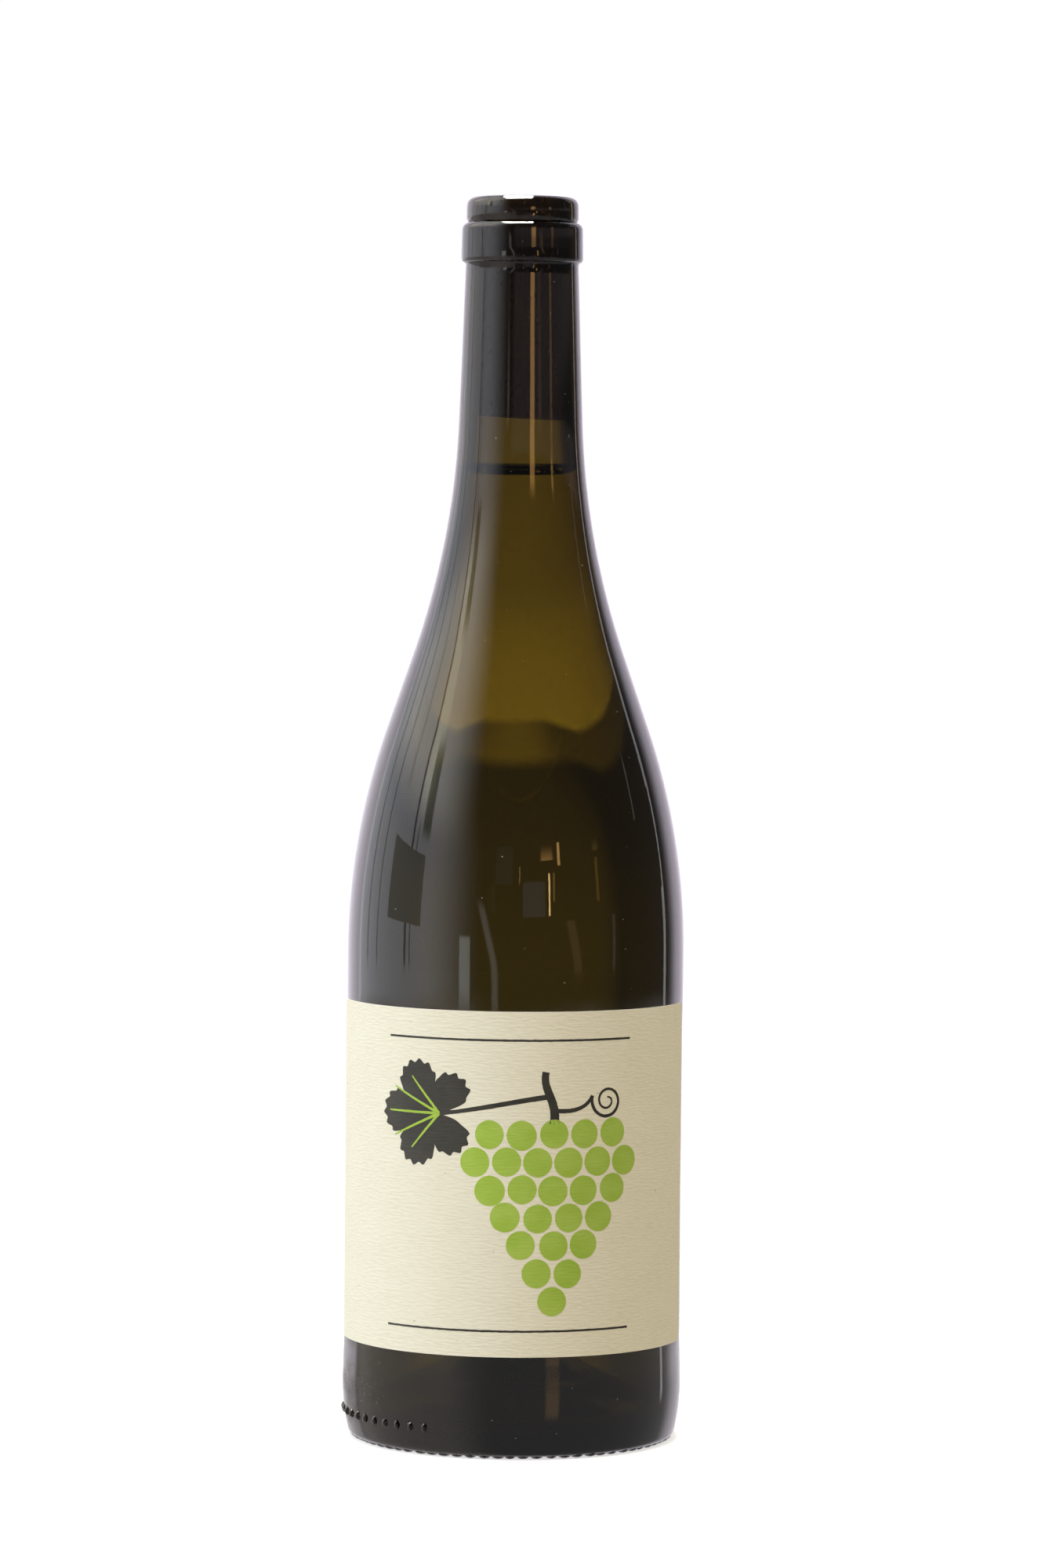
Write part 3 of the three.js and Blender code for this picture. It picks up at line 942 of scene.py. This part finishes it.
def paper_material():
    """Cream uncoated paper with felt marks."""
    material, tree, shader = new_material("cream_paper")
    felt = felt_paper(tree)
    mottled = blend(tree, felt["Mottle"], (0.825, 0.785, 0.645), (0.860, 0.822, 0.682))
    marked = blend(tree, felt["Marks"], mottled, (0.875, 0.838, 0.702))
    matt(tree, shader, blend(tree, felt["Flecks"], marked, (0.62, 0.53, 0.36)), felt["Marks"], (0.78, 0.92))
    shader.inputs["Specular IOR Level"].default_value = 0.25
    relief(tree, shader, felt["Marks"], 0.55, 0.00006)
    return material


def paper_edge_and_highlight_material():
    """The paper's cut edge: white cut fibres, and a painted highlight where it catches the light."""
    material, tree, shader = new_material("cut_paper_edge_and_highlight")
    fibres = speckle(tree, object_place(tree), (2500, 2500, 9000), 3, 0.3, 0.7)
    matt(tree, shader, blend(tree, fibres, (0.90, 0.88, 0.82), (0.97, 0.96, 0.93)), fibres, (0.85, 0.95))
    relief(tree, shader, fibres, 0.4, 0.00005)
    return material


def ink_material(name, thin, full, gloss):
    """Ink that lies thinner in soft mottles and at flecks, and follows the paper's felt marks."""
    material, tree, shader = new_material(name)
    felt = felt_paper(tree)
    laid = blend(tree, felt["Mottle"], full, thin)
    matt(tree, shader, blend(tree, felt["Flecks"], laid, thin), felt["Marks"], (gloss, gloss + 0.12))
    relief(tree, shader, felt["Marks"], 0.4, 0.00005)
    return material


def dust_material(name, dark, pale):
    """Dust or crumbs, of uneven shade."""
    material, tree, shader = new_material(name)
    shade = speckle(tree, object_place(tree), (900, 900, 900), 2, 0.3, 0.7)
    matt(tree, shader, blend(tree, shade, dark, pale), shade, (0.8, 1.0))
    relief(tree, shader, shade, 0.3, 0.00005)
    return material


def haze_material():
    """Dust that thins out upwards and to the right, in soft blots."""
    material, tree, shader = new_material("dust_haze")
    place = object_place(tree)
    blots = speckle(tree, place, (160, 160, 220), 4, 0.35, 0.72)
    grit = speckle(tree, place, (1400, 1400, 1400), 2, 0.5, 0.8)
    _, y, z = coordinates(tree, place)
    share = blots
    for axis, low, high in ((y, -0.034, -0.010), (z, 0.0235, 0.014), (z, 0.003, 0.006)):
        share = maths(tree, "MULTIPLY", share, mapped(tree, axis, low, high))
    tree.links.new(maths(tree, "MULTIPLY", share, HAZE_THICKNESS), shader.inputs["Alpha"])
    matt(tree, shader, blend(tree, grit, (0.17, 0.13, 0.09), (0.42, 0.35, 0.26)), grit, (0.85, 1.0))
    shader.inputs["Specular IOR Level"].default_value = 0
    return material


green_ink = ink_material("lime_green_ink", (0.41, 0.58, 0.085), (0.35, 0.53, 0.05), 0.62)
black_ink = ink_material("warm_black_ink", (0.032, 0.029, 0.021), (0.018, 0.016, 0.011), 0.5)
pale_dust = dust_material("pale_dust", (0.35, 0.33, 0.30), (0.75, 0.73, 0.70))
brown_dust = dust_material("brown_dust", (0.10, 0.075, 0.05), (0.42, 0.36, 0.28))

for piece, slot, materials in (
    (bottle, "bottle_glass", [glass_material()]),
    (wine, "wine", [wine_material()]),
    (cork, "cork", [cork_material()]),
    (label, "label_paper", [paper_material(), paper_edge_and_highlight_material()]),
    (green_print, "label_paper", [green_ink]),
    (black_print, "label_paper", [black_ink]),
    (dust, "bottle_glass", [pale_dust]),
    (heel_dust, "bottle_glass", [brown_dust]),
    (heel_haze, "bottle_glass", [haze_material()]),
):
    for material in materials:
        piece.data.materials.append(material)
    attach(piece, "root")

for piece, node in ((bottle, "bottle"), (wine, "wine"), (cork, "cork"), (label, "front_label")):
    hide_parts(node)


# Studio: the light that the glass mirrors and lets through is painted on the world in panels.
# A panel's angles are in degrees: sides go from straight behind the bottle (0) towards +X (90) and round
# to the front (180), heights from the horizon up. Each has four: where the light begins, is full, starts
# to fade, and ends. The lean says how many degrees the panel moves sideways for each degree of height.
STAGES = ("begins", "full", "fades", "ends")
AROUND_ROOM = (-400, -300, 300, 400)
ALL_HEIGHTS = (-120, -100, 100, 120)

MIRRORED = (
    # Dim room, with a paler ground
    (AROUND_ROOM, ALL_HEIGHTS, 0, (0.09, 0.09, 0.095)),
    (AROUND_ROOM, (-120, -100, -5.1, -4.7), 0, (0.40, 0.385, 0.38)),
    ((-170, -130, -60, -40), (-120, -100, -5.1, -4.7), 0, (0.46, 0.41, 0.36)),
    # White wall behind
    ((-50, -44, 0, 6), (-8, -6.5, 100, 120), 0, (0.95, 0.89, 1.02)),
    ((-50, -44, 0, 6), ALL_HEIGHTS, 0, (0.60, 0.56, 0.60)),
    ((0, 6, 36, 53), (-8, -6.5, 100, 120), 0, (0.45, 0.40, 0.50)),
    ((0, 6, 36, 53), ALL_HEIGHTS, 0, (0.62, 0.57, 0.64)),
    # Pale wall and bright window on the left
    ((-158, -112, -48, -44), (-5.1, -4.7, 12, 22), 0, (1.62, 1.66, 1.80)),
    ((-153, -108, -54, -48), (12, 22, 60, 80), 0, (3.3, 3.25, 3.1)),
    ((-111, -108, -101, -99.5), (14, 22, 60, 80), 0, (1.3, 1.3, 0.8)),
    # Bright bar and a slanting streak left of the middle
    ((-149.5, -148.5, -142, -141), (-5.1, -4.7, -0.5, 0.5), 0, (1.7, 1.8, 1.75)),
    ((-165, -162.5, -160.5, -158.5), (-5.1, -4.7, 4, 7), 1, (0.8, 0.8, 0.8)),
    # Lamp-lit streaks
    ((153, 155.5, 161.5, 163.5), (3.6, 5, 12, 16), 0, (3.9, 2.1, 0.66)),
    ((146, 149, 155, 158), (-19, -13, -6, -5), 0, (0.8, 0.46, 0.15)),
    ((118, 119.5, 122, 124), (3, 5, 12, 15), 0, (0.9, 0.55, 0.18)),
    ((119.5, 120.5, 123, 124), (8.6, 9.4, 12, 13), 0, (1.4, 0.9, 0.3)),
    ((136, 138, 142, 144), (-4.7, -4, 4, 8), 0.8, (0.4, 0.25, 0.13)),
    # Faint sheen on the neck, given twice because it goes past the front, and kept off the body by a screen
    ((58, 75, 190, 200), (3.5, 5, 8.5, 10), 0, (0.21, 0.17, 0.18)),
    ((-302, -285, -170, -160), (3.5, 5, 8.5, 10), 0, (0.21, 0.17, 0.18)),
    # Narrow lit edges on the right
    ((54.2, 55.2, 57.4, 58.4), (-12, -8, 20, 28), 0, (1.3, 1.3, 1.4)),
    ((53, 54.6, 56.8, 58.6), (20, 28, 60, 70), 0, (0.9, 0.9, 0.92)),
    ((60.2, 60.8, 61.6, 62.2), (18, 20, 27, 30), 0, (1.6, 1.6, 1.6)),
    ((63.4, 64, 65, 65.6), (20, 22, 28, 31), 0, (1.4, 1.4, 1.4)),
    ((79, 79.8, 80.6, 81.4), (7, 10, 18, 21), 0, (0.5, 0.5, 0.52)),
    ((107.5, 108.6, 109.6, 110.6), (-4.7, -4, 2, 4), 0, (0.35, 0.34, 0.33)),
)

# Dark window frames, which dim what is mirrored there
FRAMES = (
    ((-99.8, -99, -98, -97.4), (-4.7, -4, 60, 70), 0, (0.75, 0.75, 0.75)),
    ((-103.6, -103, -102.6, -102), (-4.7, -4, 12, 16), 0, (0.6, 0.6, 0.6)),
    ((-71.5, -70.8, -70.2, -69.5), (-4.7, -4, 60, 70), 0, (0.5, 0.5, 0.5)),
    ((-60, -59.2, -58.4, -57.6), (-4.7, -4, 60, 70), 0, (0.45, 0.45, 0.45)),
    ((-114, -112, -107, -105), (12, 15, 24, 30), 0, (0.7, 0.68, 0.72)),
    ((-86, -84.5, -83.5, -82), (15, 18, 50, 60), 0, (0.25, 0.25, 0.25)),
)

# What is seen through the glass past the cards
SEEN_THROUGH = (
    (AROUND_ROOM, (-32, -24, 8, 14), 0, (0.05, 0.05, 0.05)),
    ((-150, -130, -50, -40), (-26, -18, 8, 14), 0, (0.3, 0.3, 0.3)),
    ((-50, -26, 16, 34), (-32, -24, 8, 14), 0, (0.85, 0.85, 0.80)),
    ((-50, -26, 16, 34), (-32, -24, -17, -10), 0, (0.45, 0.47, 0.35)),
)

# The light on all that isn't glass
AMBIENT = (0.56, 0.50, 0.39)

# Floor: how far it reaches, and how much it glows to the camera
FLOOR_REACH = 1.6
FLOOR_GLOW = 0.62

# Cards behind the bottle: name, distance, half width, top, soft edge and glow
BACK_CARDS = (
    ("dark_card", 0.080, 0.15, 0.147, 0.003, (0.17, 0.17, 0.17)),
    ("dim_card", 0.082, 0.149, 0.1531, 0.002, (0.72, 0.72, 0.68)),
)
CARD_BOTTOM = -0.15
# Where they sink beside their middle and how far, and where they dim
CARD_SINK_SPAN = (0.0018, 0.005)
CARD_SINK = 0.0035
CARD_DIM_SPAN = (0.0003, 0.0032)
CARD_DIM = 0.42

# Small lit cards that the shoulder mirrors: name, side and height in degrees, size and glow
GLINT_CARDS = (
    ("upper_glint", 149.6, 14.6, (0.018, 0.042), (6.0, 3.6, 1.2)),
    ("lower_glint", 156.8, 7.0, (0.011, 0.074), (13.0, 8.3, 3.3)),
    ("side_glint", 121.0, 8.5, (0.020, 0.070), (0.9, 0.54, 0.18)),
    ("faint_glint", 153.6, 8.4, (0.012, 0.050), (1.6, 1.0, 0.35)),
    ("small_glint", 177.4, 11.0, (0.008, 0.030), (2.0, 1.4, 0.6)),
    ("grey_patch", 167.5, 6.2, (0.140, 0.062), (0.30, 0.32, 0.38)),
    ("grey_patch_above", -172.5, 11.0, (0.095, 0.060), (0.16, 0.18, 0.20)),
)
GLINT_DISTANCE = 0.5
GLINT_SHOULDER = (0.0395, 0.136)

# Lamps for what isn't glass: name, place, what they point at, size, radiance and colour
LAMPS = (
    ("side_light", (-1.42, -0.52, 0.5), (0, 0, 0.1), (1.4, 1.4), 2.9, (0.72, 0.85, 1.0)),
    ("top_light", (-0.1, -0.1, 1.5), (-0.1, -0.1, 0), (0.62, 0.7), 20, (1, 1, 1)),
)

# Curved screens that only the body mirrors: name, span in degrees from the front, span of height and glow
SCREENS = (
    ("front_screen", (-14, 120), (0.152, 0.262), (0.09, 0.09, 0.095)),
    ("left_screen", (-95.6, -66.2), (0.131, 0.242), (0.70, 0.72, 0.68)),
)
SCREEN_DISTANCE = 0.56

# The card overhead: its height, corners and glow
LIP_CARD_HEIGHT = 1.5
LIP_CARD_CORNERS = ((-0.59, -0.49), (0.30, -0.49), (0.10, 1.0), (-0.20, 1.0))
LIP_CARD_GLOW = 50


def panel_group():
    """One panel of light: its colour where the direction lies within it, and black elsewhere."""
    angles = [kind + " " + stage for kind in ("Side", "Height") for stage in STAGES]
    inputs = [(name, "NodeSocketFloat") for name in ["Side", "Height", "Lean"] + angles]
    inputs.append(("Colour", "NodeSocketVector"))
    tree, entry, result = new_group("light_panel", inputs, [("Light", "NodeSocketVector")])
    values = entry.outputs
    sideways = maths(tree, "MULTIPLY", values["Height"], values["Lean"])
    upright_side = maths(tree, "SUBTRACT", values["Side"], sideways)
    share = 1
    for kind, angle in (("Side", upright_side), ("Height", values["Height"])):
        begins, full, fades, ends = (values[kind + " " + stage] for stage in STAGES)
        share = maths(tree, "MULTIPLY", share, mapped(tree, angle, begins, full))
        share = maths(tree, "MULTIPLY", share, mapped(tree, angle, fades, ends, 1, 0))
    tree.links.new(vector_maths(tree, "MULTIPLY", values["Colour"], share), result.inputs["Light"])
    return tree


def make_world():
    world = bpy.data.worlds.new("white_studio")
    bpy.context.scene.world = world
    world.use_nodes = True
    tree = world.node_tree
    panel_tree = panel_group()
    direction = add_node(tree, "ShaderNodeTexCoord").outputs["Generated"]
    x, y, z = coordinates(tree, direction)
    side = maths(tree, "DEGREES", maths(tree, "ARCTAN2", x, y))
    height = maths(tree, "DEGREES", maths(tree, "ARCSINE", z))

    def lit(panels):
        """The light of several panels together."""
        total = (0, 0, 0)
        for sides, heights, lean, colour in panels:
            node = add_node(tree, "ShaderNodeGroup", node_tree=panel_tree)
            tree.links.new(side, node.inputs["Side"])
            tree.links.new(height, node.inputs["Height"])
            node.inputs["Lean"].default_value = lean
            for kind, angles in (("Side", sides), ("Height", heights)):
                for stage, angle in zip(STAGES, angles):
                    node.inputs[kind + " " + stage].default_value = angle
            node.inputs["Colour"].default_value = colour
            total = vector_maths(tree, "ADD", total, node.outputs[0])
        return total

    open_share = vector_maths(tree, "SUBTRACT", (1, 1, 1), lit(FRAMES))
    open_share = vector_maths(tree, "MAXIMUM", open_share, (0, 0, 0))
    framed = vector_maths(tree, "MULTIPLY", lit(MIRRORED), open_share)
    # A ray let through by the glass counts as mirrored too, so what it sees is chosen after that
    path = add_node(tree, "ShaderNodeLightPath").outputs
    light = blend(tree, path["Is Glossy Ray"], AMBIENT, framed)
    light = blend(tree, path["Is Transmission Ray"], light, lit(SEEN_THROUGH))
    light = blend(tree, path["Is Camera Ray"], light, (1.0, 1.0, 1.0))
    tree.links.new(light, tree.nodes["Background"].inputs["Color"])


def make_floor():
    """A pale floor, near white to the camera, that takes the bottle's soft shadow."""
    corners = rectangle((0, 0, 0), (FLOOR_REACH, 0, 0), (0, FLOOR_REACH, 0))
    floor = new_object("floor", corners, [(0, 1, 2, 3)])
    material, tree, shader = new_material("pale_floor")
    shader.inputs["Base Color"].default_value = (0.8, 0.8, 0.8, 1)
    shader.inputs["Roughness"].default_value = 1
    shader.inputs["Specular IOR Level"].default_value = 0
    shader.inputs["Emission Color"].default_value = (1, 1, 1, 1)
    seen = add_node(tree, "ShaderNodeLightPath").outputs["Is Camera Ray"]
    tree.links.new(maths(tree, "MULTIPLY", seen, FLOOR_GLOW), shader.inputs["Emission Strength"])
    floor.data.materials.append(material)
    floor.visible_glossy = False
    floor.visible_transmission = False
    floor.visible_diffuse = False


def make_card(name, corners, glow, mirrored=True, faces=((0, 1, 2, 3),)):
    """A glowing card that only the glass shows: mirrored by it, or else seen through it."""
    card = new_object(name, corners, faces)
    material, tree, shader = new_material(name + "_finish")
    shader.inputs["Base Color"].default_value = (0, 0, 0, 1)
    shader.inputs["Specular IOR Level"].default_value = 0
    shader.inputs["Emission Color"].default_value = (*glow, 1)
    shader.inputs["Emission Strength"].default_value = 1
    card.data.materials.append(material)
    card.visible_camera = False
    card.visible_diffuse = False
    card.visible_shadow = False
    card.visible_glossy = mirrored
    card.visible_transmission = not mirrored
    return tree, shader


def make_back_card(name, y, half_width, top, soft_edge, glow):
    """An upright card behind the bottle, reaching below the floor, that is seen through the glass.

    Its upper edge is soft and sinks to both sides of the middle, where the card is brightest.
    """
    half_height = (top - CARD_BOTTOM) / 2
    corners = rectangle((0, y, top - half_height), (half_width, 0, 0), (0, 0, half_height))
    tree, shader = make_card(name, corners, glow, False)
    x, _, z = coordinates(tree, object_place(tree))
    aside = maths(tree, "ABSOLUTE", x)
    sunk = maths(tree, "ADD", z, mapped(tree, aside, *CARD_SINK_SPAN, 0, CARD_SINK))
    tree.links.new(mapped(tree, sunk, top - soft_edge, top, 1, 0), shader.inputs["Alpha"])
    tree.links.new(mapped(tree, aside, *CARD_DIM_SPAN, 1, CARD_DIM), shader.inputs["Emission Strength"])


def make_glint_card(name, side, height, size, glow):
    """A small lit card in front, at angles in degrees from the shoulder, that the glass mirrors."""
    turn = math.radians(side)
    ahead = Vector((math.sin(turn), math.cos(turn), math.tan(math.radians(height))))
    middle = around_front(GLINT_SHOULDER[0], (180 - side) / 2, GLINT_SHOULDER[1]) + ahead * GLINT_DISTANCE
    across = Vector((ahead.y, -ahead.x, 0)) * size[0] / 2
    make_card(name, rectangle(middle, across, (0, 0, size[1] / 2)), glow)


def make_screen(name, span, heights, glow):
    """A dim curved screen, mirrored by the body but not by the neck."""
    angles = evenly(*span, 24)
    corners = [around_front(SCREEN_DISTANCE, angle, height) for angle in angles for height in heights]
    make_card(name, corners, glow, True, sheet_faces(len(angles), 2))


def make_lip_card():
    """A bright card overhead, for the highlights on the lip and the collar."""
    corners = [(x, y, LIP_CARD_HEIGHT) for x, y in LIP_CARD_CORNERS]
    make_card("lip_card", corners, (LIP_CARD_GLOW,) * 3)


def add_area_light(name, place, target, size, radiance, colour):
    """A lamp for what isn't glass: the glass neither mirrors it nor lets it through."""
    light = bpy.data.lights.new(name, "AREA")
    light.shape = "RECTANGLE"
    light.size, light.size_y = size
    light.energy = radiance * math.pi * size[0] * size[1]
    light.color = colour
    lamp = bpy.data.objects.new(name, light)
    lamp.location = place
    aim = Vector(target) - Vector(place)
    lamp.rotation_euler = aim.to_track_quat("-Z", "Y").to_euler()
    lamp.visible_glossy = False
    lamp.visible_transmission = False
    bpy.context.scene.collection.objects.link(lamp)


def make_camera():
    camera = bpy.data.cameras.new("camera")
    camera.lens = CAMERA_LENS
    camera.sensor_width = SENSOR
    camera.sensor_fit = "AUTO"
    camera.clip_start = 0.01
    mount = bpy.data.objects.new("camera", camera)
    mount.matrix_world = (
        Matrix.Translation(CAMERA_PLACE)
        @ Matrix.Rotation(math.radians(90 + CAMERA_PITCH), 4, "X")
        @ Matrix.Rotation(math.radians(CAMERA_ROLL), 4, "Z")
    )
    bpy.context.scene.collection.objects.link(mount)
    bpy.context.scene.camera = mount


make_world()
make_floor()
for card in BACK_CARDS:
    make_back_card(*card)
for card in GLINT_CARDS:
    make_glint_card(*card)
for lamp in LAMPS:
    add_area_light(*lamp)
for screen in SCREENS:
    make_screen(*screen)
make_lip_card()
make_camera()
bpy.context.scene.view_settings.view_transform = "Standard"
